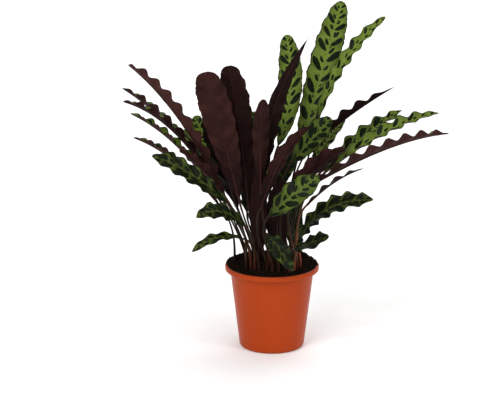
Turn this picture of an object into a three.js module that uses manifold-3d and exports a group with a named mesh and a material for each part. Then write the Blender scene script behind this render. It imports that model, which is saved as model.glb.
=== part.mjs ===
import * as THREE from 'three';
import { mergeVertices } from 'three/addons/utils/BufferGeometryUtils.js';
import Module from 'manifold-3d';

// Potted calathea: a thin plastic pot filled to the rim with compost, and a clump of
// long waved leaves, each grown in one piece out of its own hole in the compost.
// Millimetres, +Z up. The pot stands on z = 0 with its axis on x = y = 0.

// Pot
const POT_HEIGHT = 152;
const POT_SEGMENTS = 40;
const FOOT_RADIUS = 53;
const BASE_ROUND = 6.2;
const NECK_RADIUS = 75.5;
const NECK_HEIGHT = 141;
const RIM_RADIUS = 85;
const RIM_BOTTOM = 142.8;
const RIM_THICKNESS = 5;
const RIM_ROUND = 2;
const LEDGE_HEIGHT = 146;
const THROAT_HEIGHT = 142;
const WALL = 1.8;
const FLOOR = 2;
const FLOOR_CHAMFER = 4.5;
const ROUND_STEPS = 3;
const DRAIN_COUNT = 8;
const DRAIN_RADIUS = 5;
const DRAIN_CIRCLE = 38;
const DRAIN_SEGMENTS = 12;
const POT_COLOUR = 0xb64723;
const POT_ROUGHNESS = 0.4;

// Compost
const GAP = 0.3;
const SOIL_EDGE_HEIGHT = 150.5;
const SOIL_MOUND = 3;
const SOIL_BACK_RISE = 3.5;
const SOIL_RINGS = 6;
const SOIL_BUMP = 0.9;
const SOIL_BUMP_ALONG_X = 20;
const SOIL_BUMP_ALONG_Y = 23;
const SOIL_BUMP_SLANTED = 37;
const SOIL_COLOUR = 0x1c140f;
const SOIL_ROUGHNESS = 0.95;

// Leaves
const STEM_BOTTOM = 128;
const STEM_TOP = 158;
const STEM_HOLE_TOP = 170;
const STEM_RADIUS = 2.6;
const STEM_HOLE_SIDES = 6;
const STALK_RADIUS = 1.6;
const STALK_RINGS = 6;
const STALK_RISE = 0.18;
const STALK_REACH = 0.38;
const RIB_THICKNESS = 1.6;
const EDGE_THICKNESS = 1.1;
const TIP_HALF_WIDTH = 0.8;
const TIP_STATION = 0.3;
const WIDTH_RISE = 0.7;
const WAVE_PITCH = 31;
const WAVE_STATIONS = 3;
const WAVE_FULL_HALF_WIDTH = 14;
const GOLDEN_ANGLE = 2.4;
const RING_POINTS = 6;
const LEAF_COLOUR = 0x6f9a35;
const LEAF_ROUGHNESS = 0.5;

// One row a leaf: name, where its stem enters the compost, where the blade starts, the
// middle of the blade, its tip, its full width, the azimuth and elevation the upper
// side looks to in degrees, how far the edges rise for each unit of half width, how
// sharply the width falls off to the tip, and how deep the edge waves are.
const LEAVES = [
  ['left_1', [-34, -14], [-80, -50, 282], [-158, -75, 429], [-245, -95, 530], 53, [28, 32], 0.35, 0.4, 3.5],
  ['left_2', [-38, 6], [-81, -5, 271], [-170, 12, 389], [-268, 26, 469], 36, [18, 40], 0.5, 0.5, 4],
  ['left_3', [-44, -4], [-86, -28, 277], [-169, -32, 398], [-261, -36, 456], 36, [20, 38], 0.5, 0.5, 4],
  ['left_4', [-46, -16], [-87, -50, 275], [-161, -57, 377], [-246, -62, 440], 34, [5, 40], 0.4, 0.5, 4],
  ['left_5', [-68, 12], [-92, -24, 266], [-167, -24, 344], [-245, -26, 390], 31, [15, 40], 0.5, 0.5, 3.8],
  ['left_6', [-46, -28], [-78, -86, 288], [-141, -106, 344], [-205, -118, 378], 38, [-50, 38], 0.15, 0.6, 4],
  ['left_7', [-38, -26], [-87, -76, 303], [-126, -90, 353], [-160, -98, 383], 28, [50, 30], 0.3, 0.6, 3.5],
  ['left_8', [-31, -37], [-46, -82, 244], [-88, -120, 281], [-129, -144, 276], 39, [-72, 56], 0.1, 0.75, 3.5],
  ['left_9', [-23, -41], [-49, -78, 221], [-93, -112, 233], [-137, -135, 213], 23, [-80, 66], 0.1, 0.6, 3.5],
  ['front_1', [-25, -22], [-58, -66, 288], [-88, -98, 419], [-116, -108, 520], 55, [85, 10], 0.2, 0.36, 2.5],
  ['front_2', [-17, -12], [-41, -40, 267], [-58, -58, 418], [-77, -62, 524], 50, [80, 5], 0.2, 0.4, 2.5],
  ['front_3', [-6, -32], [-20, -76, 316], [-20, -88, 400], [-15, -90, 471], 29, [90, 0], 0.4, 0.5, 2.5],
  ['front_4', [3, -18], [-18, -45, 316], [1, -60, 443], [61, -55, 572], 31, [70, 10], 0.35, 1.1, 4],
  ['front_5', [-9, -40], [-23, -80, 270], [19, -102, 375], [65, -100, 426], 27, [110, 20], 0.3, 0.8, 3.5],
  ['front_6', [-16, -30], [-23, -36, 167], [-24, -50, 251], [-22, -58, 349], 31, [90, 0], 0.3, 0.5, 2.5],
  ['front_7', [24, -45], [26, -70, 288], [72, -84, 346], [126, -88, 384], 44, [118, 25], 0.3, 0.6, 3.5],
  ['front_8', [-27, -4], [-61, -22, 261], [-96, -33, 372], [-111, -38, 434], 48, [70, 10], 0.3, 0.5, 3],
  ['front_9', [10, -32], [12, -38, 171], [10, -47, 256], [19, -50, 320], 42, [90, 0], 0.3, 0.6, 2.5],
  ['front_10', [1, -48], [-5, -102, 269], [34, -122, 310], [80, -116, 343], 46, [-80, 42], 0.1, 0.55, 3.5],
  ['front_11', [12, -45], [-7, -88, 231], [12, -114, 213], [36, -124, 176], 33, [-85, 45], 0.1, 0.7, 4],
  ['back_1', [6, 10], [10, 14, 368], [31, 32, 462], [24, 46, 563], 43, [-95, 18], 0.15, 0.45, 3],
  ['back_2', [16, 4], [46, 20, 347], [86, 60, 487], [124, 78, 619], 52, [-102, 15], 0.15, 0.45, 3],
  ['right_1', [30, -3], [75, 0, 400], [120, 10, 512], [197, 14, 599], 28, [-135, 30], 0.2, 0.5, 4],
  ['right_2', [35, -12], [77, -22, 383], [139, -30, 435], [210, -45, 485], 40, [150, 30], 0.4, 1.0, 4],
  ['right_3', [32, -24], [34, -50, 353], [67, -64, 395], [101, -72, 435], 45, [-112, 32], 0.15, 0.5, 3.5],
  ['right_4', [42, -6], [86, -12, 326], [156, -8, 386], [228, 0, 436], 44, [-150, 42], 0.25, 0.7, 4.5],
  ['right_5', [44, -18], [87, -46, 329], [193, -54, 405], [287, -60, 442], 33, [-152, 48], 0.45, 0.7, 4.5],
  ['right_6', [45, -30], [53, -92, 313], [188, -114, 388], [297, -130, 420], 49, [150, 45], 0.4, 0.65, 4.3],
  ['right_7', [51, -12], [60, -34, 270], [107, -48, 315], [158, -62, 344], 27, [160, 40], 0.3, 0.7, 4],
  ['right_8', [40, -42], [44, -56, 202], [90, -100, 278], [171, -142, 308], 48, [-100, 58], 0.1, 0.6, 4],
  ['right_9', [31, -45], [34, -81, 203], [62, -119, 224], [97, -142, 243], 41, [-90, 58], 0.1, 0.6, 3],
  ['back_3', [13, -20], [1, -26, 278], [22, -24, 327], [54, -18, 386], 24, [-100, 20], 0.2, 0.5, 3],
  ['back_4', [-10, 2], [-45, 0, 249], [-40, 18, 332], [-31, 36, 422], 42, [-90, 15], 0.2, 0.5, 4],
  ['back_5', [-28, 8], [-67, 28, 257], [-109, 48, 347], [-142, 58, 413], 40, [-60, 30], 0.2, 0.45, 4],
  ['back_6', [-23, 18], [-63, 50, 265], [-122, 76, 334], [-164, 92, 381], 36, [-40, 35], 0.2, 0.5, 4],
  ['back_7', [-5, 18], [-31, 45, 298], [-38, 90, 372], [-49, 125, 409], 44, [-85, 35], 0.2, 0.5, 4],
  ['back_8', [8, 22], [5, 50, 274], [11, 100, 300], [9, 150, 312], 30, [-90, 45], 0.2, 0.5, 4],
  ['back_9', [-15, 27], [-50, 60, 279], [-75, 110, 349], [-91, 150, 392], 44, [-70, 40], 0.2, 0.5, 4],
  ['back_10', [24, 18], [41, 30, 166], [38, 50, 220], [29, 95, 271], 38, [-95, 40], 0.2, 0.5, 3.5],
  ['back_11', [2, 32], [-19, 65, 265], [-31, 130, 307], [-50, 190, 313], 46, [-85, 60], 0.2, 0.5, 4],
  ['back_12', [31, 12], [54, 45, 280], [91, 95, 345], [135, 135, 394], 25, [-115, 40], 0.2, 0.5, 4],
  ['back_13', [-33, 22], [-74, 58, 261], [-108, 105, 306], [-136, 150, 312], 40, [-50, 50], 0.2, 0.5, 4],
];

const wasm = await Module();
wasm.setup();

function solid(geometry) {
  const bare = geometry.clone();
  bare.deleteAttribute('normal');
  bare.deleteAttribute('uv');
  const merged = mergeVertices(bare, 1e-4);
  return new wasm.Manifold(new wasm.Mesh({
    numProp: 3,
    vertProperties: new Float32Array(merged.attributes.position.array),
    triVerts: new Uint32Array(merged.index.array),
  }));
}

function geometryOf(body) {
  const mesh = body.getMesh();
  const geometry = new THREE.BufferGeometry();
  geometry.setAttribute('position', new THREE.BufferAttribute(mesh.vertProperties, 3));
  geometry.setIndex(new THREE.BufferAttribute(mesh.triVerts, 1));
  geometry.computeVertexNormals();
  return geometry;
}

function vector(coordinates) {
  return new THREE.Vector3(coordinates[0], coordinates[1], coordinates[2]);
}

// Radius of the pot's inside at a height between the floor and the neck.
function insideRadius(z) {
  const baseRadius = FOOT_RADIUS + BASE_ROUND;
  const share = (z - BASE_ROUND) / (NECK_HEIGHT - BASE_ROUND);
  return baseRadius + (NECK_RADIUS - baseRadius) * share - WALL;
}

// A quarter round of the pot's profile about a centre, turning outwards to inwards.
function quarterRound(centreRadius, centreHeight, size, startAngle) {
  const points = [];
  for (let step = 0; step <= ROUND_STEPS; step += 1) {
    const angle = startAngle + (step / ROUND_STEPS) * (Math.PI / 2);
    const radius = centreRadius + size * Math.cos(angle);
    points.push([radius, centreHeight + size * Math.sin(angle)]);
  }
  return points;
}

// A thin tapered wall, a shoulder under the rim and a rounded rim band, turned in one
// piece with the floor, and a circle of drain holes through the floor.
function potGeometry() {
  const rimOutside = RIM_RADIUS - RIM_ROUND;
  const rimInside = RIM_RADIUS - RIM_THICKNESS + RIM_ROUND;
  const chamferTop = FLOOR + FLOOR_CHAMFER;
  const profile = [
    [0, 0],
    ...quarterRound(FOOT_RADIUS, BASE_ROUND, BASE_ROUND, -Math.PI / 2),
    [NECK_RADIUS, NECK_HEIGHT],
    ...quarterRound(rimOutside, RIM_BOTTOM + RIM_ROUND, RIM_ROUND, -Math.PI / 2),
    ...quarterRound(rimOutside, POT_HEIGHT - RIM_ROUND, RIM_ROUND, 0),
    ...quarterRound(rimInside, POT_HEIGHT - RIM_ROUND, RIM_ROUND, Math.PI / 2),
    [RIM_RADIUS - RIM_THICKNESS, LEDGE_HEIGHT],
    [NECK_RADIUS - WALL, THROAT_HEIGHT],
    [insideRadius(chamferTop), chamferTop],
    [FOOT_RADIUS, FLOOR],
    [0, FLOOR],
  ];
  const points = profile.map(([radius, z]) => new THREE.Vector2(radius, z));
  let pot = solid(new THREE.LatheGeometry(points, POT_SEGMENTS).rotateX(Math.PI / 2));
  for (let hole = 0; hole < DRAIN_COUNT; hole += 1) {
    const angle = ((hole + 0.5) * 2 * Math.PI) / DRAIN_COUNT;
    const drill = new THREE.CylinderGeometry(DRAIN_RADIUS, DRAIN_RADIUS, 4 * FLOOR, DRAIN_SEGMENTS);
    drill.rotateX(Math.PI / 2);
    drill.translate(DRAIN_CIRCLE * Math.cos(angle), DRAIN_CIRCLE * Math.sin(angle), FLOOR / 2);
    pot = pot.subtract(solid(drill));
  }
  return geometryOf(pot);
}

// Height of the compost: a low mound with crumbly bumps, higher towards the back rim.
function soilHeight(x, y) {
  const radius = Math.hypot(x, y);
  const mound = SOIL_MOUND * (1 - (radius / RIM_RADIUS) ** 2);
  const backRise = SOIL_BACK_RISE * (y / RIM_RADIUS);
  const turn = 2 * Math.PI;
  const crossed = Math.sin((turn * x) / SOIL_BUMP_ALONG_X) * Math.sin((turn * y) / SOIL_BUMP_ALONG_Y);
  const slanted = Math.sin((turn * (x - y)) / SOIL_BUMP_SLANTED);
  return SOIL_EDGE_HEIGHT + mound + backRise + SOIL_BUMP * (crossed + slanted);
}

// The root ball: it follows the inside of the pot with a small gap all round, and each
// stem has a plain hole in it.
function soilGeometry() {
  const topRadius = RIM_RADIUS - RIM_THICKNESS - GAP;
  const chamferTop = FLOOR + FLOOR_CHAMFER + GAP;
  const rings = [];
  for (let ring = 1; ring <= SOIL_RINGS; ring += 1) {
    rings.push([(topRadius * ring) / SOIL_RINGS, null]);
  }
  rings.push([topRadius, LEDGE_HEIGHT + GAP]);
  rings.push([NECK_RADIUS - WALL - GAP, THROAT_HEIGHT + GAP]);
  rings.push([insideRadius(chamferTop) - GAP, chamferTop]);
  rings.push([FOOT_RADIUS - GAP, FLOOR + GAP]);
  const positions = [0, 0, soilHeight(0, 0)];
  for (const [radius, height] of rings) {
    for (let sector = 0; sector < POT_SEGMENTS; sector += 1) {
      const angle = (sector * 2 * Math.PI) / POT_SEGMENTS;
      const x = radius * Math.cos(angle);
      const y = radius * Math.sin(angle);
      positions.push(x, y, height ?? soilHeight(x, y));
    }
  }
  const bottom = positions.length / 3;
  positions.push(0, 0, FLOOR + GAP);
  const ringStart = (ring) => 1 + ring * POT_SEGMENTS;
  const lastStart = ringStart(rings.length - 1);
  const indices = [];
  for (let sector = 0; sector < POT_SEGMENTS; sector += 1) {
    const next = (sector + 1) % POT_SEGMENTS;
    indices.push(0, ringStart(0) + sector, ringStart(0) + next);
    for (let ring = 0; ring + 1 < rings.length; ring += 1) {
      const inner = ringStart(ring);
      const outer = ringStart(ring + 1);
      indices.push(inner + sector, outer + sector, outer + next);
      indices.push(inner + sector, outer + next, inner + next);
    }
    indices.push(bottom, lastStart + next, lastStart + sector);
  }
  const geometry = new THREE.BufferGeometry();
  geometry.setAttribute('position', new THREE.Float32BufferAttribute(positions, 3));
  geometry.setIndex(indices);
  const holeRadius = (STEM_RADIUS + GAP) / Math.cos(Math.PI / STEM_HOLE_SIDES);
  const holeBottom = STEM_BOTTOM - GAP;
  const holeHeight = STEM_HOLE_TOP - holeBottom;
  const holes = LEAVES.map(([, [footX, footY]]) => {
    const hole = new THREE.CylinderGeometry(holeRadius, holeRadius, holeHeight, STEM_HOLE_SIDES);
    hole.rotateX(Math.PI / 2);
    hole.translate(footX, footY, holeBottom + holeHeight / 2);
    return solid(hole);
  });
  return geometryOf(solid(geometry).subtract(wasm.Manifold.union(holes)));
}

// Half width of a blade at a share of its length: full past the middle, running into the
// stalk at its start, and blunter at the tip the smaller the fall.
function halfWidth(width, fall, share) {
  const peak = WIDTH_RISE / (WIDTH_RISE + fall);
  const peakValue = peak ** WIDTH_RISE * (1 - peak) ** fall;
  const shape = (share ** WIDTH_RISE * (1 - share) ** fall) / peakValue;
  return Math.max((width / 2) * shape, TIP_HALF_WIDTH);
}

// Cross-section of the stalk, in the same six-point order as a blade's section: left,
// middle and right of the upper side, then right, middle and left of the underside.
function stalkSection(radius) {
  const side = radius * Math.cos(Math.PI / 6);
  const half = radius / 2;
  return [[-side, half], [0, radius], [side, half], [side, -half], [0, -radius], [-side, -half]];
}

function bladeSection(half, fold, wave, turn) {
  const depth = wave * Math.min(1, (half / WAVE_FULL_HALF_WIDTH) ** 2);
  const left = fold * half + depth * Math.sin(turn);
  const right = fold * half + depth * Math.sin(turn + GOLDEN_ANGLE);
  const rib = RIB_THICKNESS / 2;
  const edge = EDGE_THICKNESS / 2;
  return [
    [-half, left + edge],
    [0, rib],
    [half, right + edge],
    [half, right - edge],
    [0, -rib],
    [-half, left - edge],
  ];
}

// A leaf in one piece: a stem buried in the compost, a stalk that leaves it upright and
// bends into the blade's own direction, and a folded blade with waved edges.
function leafGeometry(row, index) {
  const [, foot, collar, mid, tip, width, facing, fold, fall, wave] = row;
  const stemTop = new THREE.Vector3(foot[0], foot[1], STEM_TOP);
  const bladeStart = vector(collar);
  const bladeEnd = vector(tip);
  const bend = vector(mid).multiplyScalar(2).sub(bladeStart.clone().add(bladeEnd).multiplyScalar(0.5));
  const blade = new THREE.QuadraticBezierCurve3(bladeStart, bend, bladeEnd);
  const stalkLength = stemTop.distanceTo(bladeStart);
  const leaving = bend.clone().sub(bladeStart).normalize();
  const stalk = new THREE.CubicBezierCurve3(
    stemTop,
    stemTop.clone().add(new THREE.Vector3(0, 0, STALK_RISE * stalkLength)),
    bladeStart.clone().addScaledVector(leaving, -STALK_REACH * stalkLength),
    bladeStart,
  );
  const azimuth = THREE.MathUtils.degToRad(facing[0]);
  const elevation = THREE.MathUtils.degToRad(facing[1]);
  const upper = new THREE.Vector3(
    Math.cos(azimuth) * Math.cos(elevation),
    Math.sin(azimuth) * Math.cos(elevation),
    Math.sin(elevation),
  );
  const positions = [];
  const addRing = (centre, tangent, section) => {
    const normal = upper.clone().addScaledVector(tangent, -upper.dot(tangent)).normalize();
    const side = normal.clone().cross(tangent);
    for (const [across, above] of section) {
      const point = centre.clone().addScaledVector(side, across).addScaledVector(normal, above);
      positions.push(point.x, point.y, point.z);
    }
  };
  const upright = new THREE.Vector3(0, 0, 1);
  addRing(new THREE.Vector3(foot[0], foot[1], STEM_BOTTOM), upright, stalkSection(STEM_RADIUS));
  for (let ring = 0; ring <= STALK_RINGS; ring += 1) {
    const share = ring / STALK_RINGS;
    const radius = STALK_RADIUS + (STEM_RADIUS - STALK_RADIUS) * (1 - share) ** 2;
    const tangent = ring === 0 ? upright : stalk.getTangent(share);
    addRing(stalk.getPoint(share), tangent, stalkSection(radius));
  }
  const waves = blade.getLength() / WAVE_PITCH;
  const stations = Math.round(waves * WAVE_STATIONS);
  const shares = [];
  for (let station = 1; station < stations; station += 1) {
    shares.push(station / stations);
  }
  shares.push(1 - TIP_STATION / stations, 1);
  for (const share of shares) {
    const turn = 2 * Math.PI * waves * share + index * GOLDEN_ANGLE;
    const section = bladeSection(halfWidth(width, fall, share), fold, wave, turn);
    addRing(blade.getPoint(share), blade.getTangent(share), section);
  }
  const rings = positions.length / (3 * RING_POINTS);
  const indices = [];
  for (let ring = 0; ring + 1 < rings; ring += 1) {
    for (let point = 0; point < RING_POINTS; point += 1) {
      const a = ring * RING_POINTS + point;
      const b = ring * RING_POINTS + ((point + 1) % RING_POINTS);
      const c = a + RING_POINTS;
      const d = b + RING_POINTS;
      const underside = point === 3 || point === 4;
      if (underside) {
        indices.push(a, c, b, c, d, b);
      } else {
        indices.push(a, d, b, a, c, d);
      }
    }
  }
  const last = (rings - 1) * RING_POINTS;
  const cap = [[0, 1, 4], [0, 4, 5], [1, 2, 3], [1, 3, 4]];
  for (const [a, b, c] of cap) {
    indices.push(a, b, c);
    indices.push(last + a, last + c, last + b);
  }
  const geometry = new THREE.BufferGeometry();
  geometry.setAttribute('position', new THREE.Float32BufferAttribute(positions, 3));
  geometry.setIndex(indices);
  geometry.computeVertexNormals();
  return geometry;
}

const group = new THREE.Group();

function addPiece(name, geometry, colour, roughness) {
  const material = new THREE.MeshStandardMaterial({ color: colour, roughness, metalness: 0 });
  const mesh = new THREE.Mesh(geometry, material);
  mesh.name = name;
  group.add(mesh);
}

addPiece('pot', potGeometry(), POT_COLOUR, POT_ROUGHNESS);
addPiece('soil', soilGeometry(), SOIL_COLOUR, SOIL_ROUGHNESS);
LEAVES.forEach((row, index) => {
  addPiece(row[0], leafGeometry(row, index), LEAF_COLOUR, LEAF_ROUGHNESS);
});

export default group;
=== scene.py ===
import math

import bpy
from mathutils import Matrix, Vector, noise


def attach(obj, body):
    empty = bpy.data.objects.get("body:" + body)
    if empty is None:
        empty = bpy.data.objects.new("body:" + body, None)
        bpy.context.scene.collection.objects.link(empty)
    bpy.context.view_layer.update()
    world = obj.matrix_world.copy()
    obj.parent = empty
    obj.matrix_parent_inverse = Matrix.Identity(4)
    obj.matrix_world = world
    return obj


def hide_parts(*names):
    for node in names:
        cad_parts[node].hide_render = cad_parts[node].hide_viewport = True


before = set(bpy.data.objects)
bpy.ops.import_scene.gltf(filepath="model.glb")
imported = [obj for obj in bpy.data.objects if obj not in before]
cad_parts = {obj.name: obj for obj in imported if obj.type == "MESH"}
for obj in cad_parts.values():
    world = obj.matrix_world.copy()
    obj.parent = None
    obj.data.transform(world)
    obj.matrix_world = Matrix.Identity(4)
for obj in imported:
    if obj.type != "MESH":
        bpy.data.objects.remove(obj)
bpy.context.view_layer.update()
MM = 0.001


# Pot: a round nursery pot, moulded in one piece from thin terracotta-coloured plastic.
# Its wall tapers to a rounded foot, and a shoulder carries the rolled rim. The floor is
# flat and has a circle of drain holes.
POT_HEIGHT = 152
POT_FOOT_RADIUS = 53
POT_BASE_ROUND = 6.2
POT_NECK_RADIUS = 75.5
POT_NECK_HEIGHT = 141
RIM_RADIUS = 85
RIM_BOTTOM = 142.8
RIM_THICKNESS = 5
RIM_ROUND = 2
LEDGE_HEIGHT = 146
THROAT_HEIGHT = 142
POT_WALL = 1.8
POT_FLOOR = 2
FLOOR_CHAMFER = 4.5
FOOT_TURN = 82
# Points of the shoulder, out from the neck's radius and up from its height.
SHOULDER_CURVE = [(-0.2, -1.6), (0.2, -0.3), (1.2, 0.3)]
DRAIN_COUNT = 8
DRAIN_RADIUS = 5
DRAIN_CIRCLE = 38
DRAIN_SIDES = 32
PUNCH_OVERSHOOT = 3
POT_SEGMENTS = 160
POT_CREASE_DEGREES = 40
POT_TERRACOTTA = (0.345, 0.042, 0.006, 1)
POT_TERRACOTTA_PALE = (0.385, 0.050, 0.009, 1)


def pot_inside_radius(z):
    base_radius = POT_FOOT_RADIUS + POT_BASE_ROUND
    share = (z - POT_BASE_ROUND) / (POT_NECK_HEIGHT - POT_BASE_ROUND)
    return base_radius + (POT_NECK_RADIUS - base_radius) * share - POT_WALL


def moulded_round(centre_radius, centre_height, size, start_degrees, turn=90, steps=6):
    """Points of a rounded corner of the pot's profile."""
    corner = []
    for step in range(steps + 1):
        angle = math.radians(start_degrees + turn * step / steps)
        corner.append((centre_radius + size * math.cos(angle), centre_height + size * math.sin(angle)))
    return corner


def ringed(name, first_height, rings, last_height, downward=False):
    """A closed mesh of rings about the pot's axis, from one point on it to another. A ring
    is a list of radius and height, one pair for each segment."""
    segments = len(rings[0])
    verts = [(0, 0, first_height * MM)]
    for ring in rings:
        for segment, (radius, z) in enumerate(ring):
            angle = 2 * math.pi * segment / segments
            verts.append((radius * math.cos(angle) * MM, radius * math.sin(angle) * MM, z * MM))
    verts.append((0, 0, last_height * MM))
    last = len(verts) - 1
    last_ring = last - segments
    faces = []
    for segment in range(segments):
        beside = (segment + 1) % segments
        faces.append((0, 1 + beside, 1 + segment))
        for near in range(1, last_ring, segments):
            far = near + segments
            faces.append((near + segment, near + beside, far + beside, far + segment))
        faces.append((last, last_ring + segment, last_ring + beside))
    if downward:
        faces = [face[:1] + face[:0:-1] for face in faces]
    mesh = bpy.data.meshes.new(name)
    mesh.from_pydata(verts, [], faces)
    return mesh


def placed(name, mesh):
    """A piece at the origin, with its place in its mesh."""
    piece = bpy.data.objects.new(name, mesh)
    bpy.context.scene.collection.objects.link(piece)
    return piece


def finished_mesh(worker, name):
    """The plain mesh that a piece's modifiers give; the piece they worked on is taken away."""
    depsgraph = bpy.context.evaluated_depsgraph_get()
    mesh = bpy.data.meshes.new_from_object(worker.evaluated_get(depsgraph), depsgraph=depsgraph)
    mesh.name = name
    worker.modifiers.clear()
    bpy.data.objects.remove(worker)
    return mesh


rim_outside = RIM_RADIUS - RIM_ROUND
rim_inside = RIM_RADIUS - RIM_THICKNESS + RIM_ROUND
chamfer_top = POT_FLOOR + FLOOR_CHAMFER
pot_profile = [
    *moulded_round(POT_FOOT_RADIUS, POT_BASE_ROUND, POT_BASE_ROUND, -90, turn=FOOT_TURN),
    *[(POT_NECK_RADIUS + out, POT_NECK_HEIGHT + up) for out, up in SHOULDER_CURVE],
    *moulded_round(rim_outside, RIM_BOTTOM + RIM_ROUND, RIM_ROUND, -90),
    *moulded_round(rim_outside, POT_HEIGHT - RIM_ROUND, RIM_ROUND, 0),
    *moulded_round(rim_inside, POT_HEIGHT - RIM_ROUND, RIM_ROUND, 90),
    (RIM_RADIUS - RIM_THICKNESS, LEDGE_HEIGHT),
    (POT_NECK_RADIUS - POT_WALL, THROAT_HEIGHT),
    (pot_inside_radius(chamfer_top), chamfer_top),
    (POT_FOOT_RADIUS, POT_FLOOR),
]
pot_rings = [[point] * POT_SEGMENTS for point in pot_profile]
pot_worker = placed("pot_blank", ringed("pot_blank", 0, pot_rings, POT_FLOOR))
drain_verts = []
drain_faces = []
for hole in range(DRAIN_COUNT):
    around = (hole + 0.5) * 2 * math.pi / DRAIN_COUNT
    start = len(drain_verts)
    for z in (-PUNCH_OVERSHOOT, POT_FLOOR + PUNCH_OVERSHOOT):
        for side in range(DRAIN_SIDES):
            angle = 2 * math.pi * side / DRAIN_SIDES
            x = DRAIN_CIRCLE * math.cos(around) + DRAIN_RADIUS * math.cos(angle)
            y = DRAIN_CIRCLE * math.sin(around) + DRAIN_RADIUS * math.sin(angle)
            drain_verts.append((x * MM, y * MM, z * MM))
    upper = start + DRAIN_SIDES
    drain_faces.append(tuple(start + side for side in reversed(range(DRAIN_SIDES))))
    drain_faces.append(tuple(upper + side for side in range(DRAIN_SIDES)))
    for side in range(DRAIN_SIDES):
        beside = (side + 1) % DRAIN_SIDES
        drain_faces.append((start + side, start + beside, upper + beside, upper + side))
drain_mesh = bpy.data.meshes.new("drain_punches")
drain_mesh.from_pydata(drain_verts, [], drain_faces)
drain_punches = placed("drain_punches", drain_mesh)
punched = pot_worker.modifiers.new("drain holes", "BOOLEAN")
punched.operation = "DIFFERENCE"
punched.object = drain_punches
punched.solver = "EXACT"
pot = placed("pot_shell", finished_mesh(pot_worker, "pot_shell"))
bpy.data.objects.remove(drain_punches)
for face in pot.data.polygons:
    face.use_smooth = True
pot.data.set_sharp_from_angle(angle=math.radians(POT_CREASE_DEGREES))


def node_in(tree, kind, given=(), **settings):
    """A new node of a tree, with its settings, and with what its inputs are given: plain
    values, readings or the outputs of other nodes."""
    node = tree.nodes.new(kind)
    for setting, value in settings.items():
        setattr(node, setting, value)
    for slot, value in dict(given).items():
        if isinstance(value, Reading):
            value = value.socket
        if isinstance(value, bpy.types.NodeSocket):
            tree.links.new(value, node.inputs[slot])
        else:
            node.inputs[slot].default_value = value
    return node


class Reading:
    """A number or a direction read at every point of a piece. Sums of readings add the
    matching nodes to the tree that they belong to."""

    def __init__(self, socket):
        self.socket = socket
        self.is_direction = socket.type == "VECTOR"

    def worked(self, kind, others=(), **settings):
        """A node that works on this reading and the others."""
        return node_in(self.socket.id_data, kind, enumerate((self, *others)), **settings)

    def number(self, operation, *others):
        return Reading(self.worked("ShaderNodeMath", others, operation=operation).outputs[0])

    def direction(self, operation, *others):
        node = self.worked("ShaderNodeVectorMath", others, operation=operation)
        return Reading(node.outputs["Value" if operation == "DOT_PRODUCT" else "Vector"])

    def __add__(self, other):
        return self.direction("ADD", other) if self.is_direction else self.number("ADD", other)

    def __sub__(self, other):
        return self.direction("SUBTRACT", other) if self.is_direction else self.number("SUBTRACT", other)

    def __mul__(self, other):
        if not self.is_direction:
            return self.number("MULTIPLY", other)
        given = {"Vector": self, "Scale": other}
        node = node_in(self.socket.id_data, "ShaderNodeVectorMath", given, operation="SCALE")
        return Reading(node.outputs["Vector"])

    def __truediv__(self, other):
        return self.number("DIVIDE", other)

    def __pow__(self, other):
        return self.number("POWER", other)

    def less_from(self, whole):
        """whole - self, for a plain number."""
        return (self * -1) + whole

    def sine(self):
        return self.number("SINE")

    def size(self):
        return self.number("ABSOLUTE")

    def clamped(self):
        return self.number("MAXIMUM", 0.0).number("MINIMUM", 1.0)

    def parts(self):
        return [Reading(output) for output in self.worked("ShaderNodeSeparateXYZ").outputs]

    def gathered(self, *others):
        """This number and two others as one direction."""
        return Reading(self.worked("ShaderNodeCombineXYZ", others).outputs[0])


class Finish:
    """A material's node tree, with the few nodes that the plant's finishes are made from."""

    def __init__(self, name, specular, roughness=0.5):
        self.material = bpy.data.materials.new(name)
        self.material.use_nodes = True
        self.tree = self.material.node_tree
        self.surface = self.tree.nodes["Principled BSDF"]
        self.surface.inputs["Roughness"].default_value = roughness
        self.surface.inputs["Specular IOR Level"].default_value = specular

    def place(self):
        """Where the point lies on the object, in metres."""
        return Reading(node_in(self.tree, "ShaderNodeTexCoord").outputs["Object"])

    def stretched(self, along):
        """The same place, with its three measures scaled."""
        given = {"Scale": along, "Vector": self.place()}
        return Reading(node_in(self.tree, "ShaderNodeMapping", given).outputs["Vector"])

    def grain(self, scale, detail=3.0, roughness=0.55, place=None):
        """Cloudy variation about 0.5, of that many clouds a metre."""
        given = {"Scale": scale, "Detail": detail, "Roughness": roughness}
        given["Vector"] = place or self.place()
        return Reading(node_in(self.tree, "ShaderNodeTexNoise", given).outputs[0])

    def chance(self, place):
        """One random number for each whole cell of place."""
        node = node_in(self.tree, "ShaderNodeTexWhiteNoise", {"Vector": place}, noise_dimensions="3D")
        return Reading(node.outputs["Value"])

    def attribute(self, name, output="Vector"):
        return Reading(node_in(self.tree, "ShaderNodeAttribute", attribute_name=name).outputs[output])

    def ramp(self, reading, *stops):
        """A colour read off a scale: stops are (place, colour)."""
        node = node_in(self.tree, "ShaderNodeValToRGB", {0: reading})
        scale = node.color_ramp
        while len(scale.elements) < len(stops):
            scale.elements.new(0.5)
        for element, (position, colour) in zip(scale.elements, stops):
            element.position = position
            element.color = colour
        return node.outputs["Color"]

    def between(self, share, first, second):
        """first where share is 0 and second where it is 1."""
        given = {0: share, 6: first, 7: second}
        return node_in(self.tree, "ShaderNodeMix", given, data_type="RGBA").outputs[2]

    def colour(self, socket):
        self.tree.links.new(socket, self.surface.inputs["Base Color"])

    def rough(self, reading):
        self.tree.links.new(reading.socket, self.surface.inputs["Roughness"])

    def relief(self, height, metres):
        """height from 0 to 1 stands that many metres proud."""
        given = {"Distance": metres, "Strength": 1.0, "Height": height}
        bump = node_in(self.tree, "ShaderNodeBump", given)
        self.tree.links.new(bump.outputs["Normal"], self.surface.inputs["Normal"])


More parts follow.
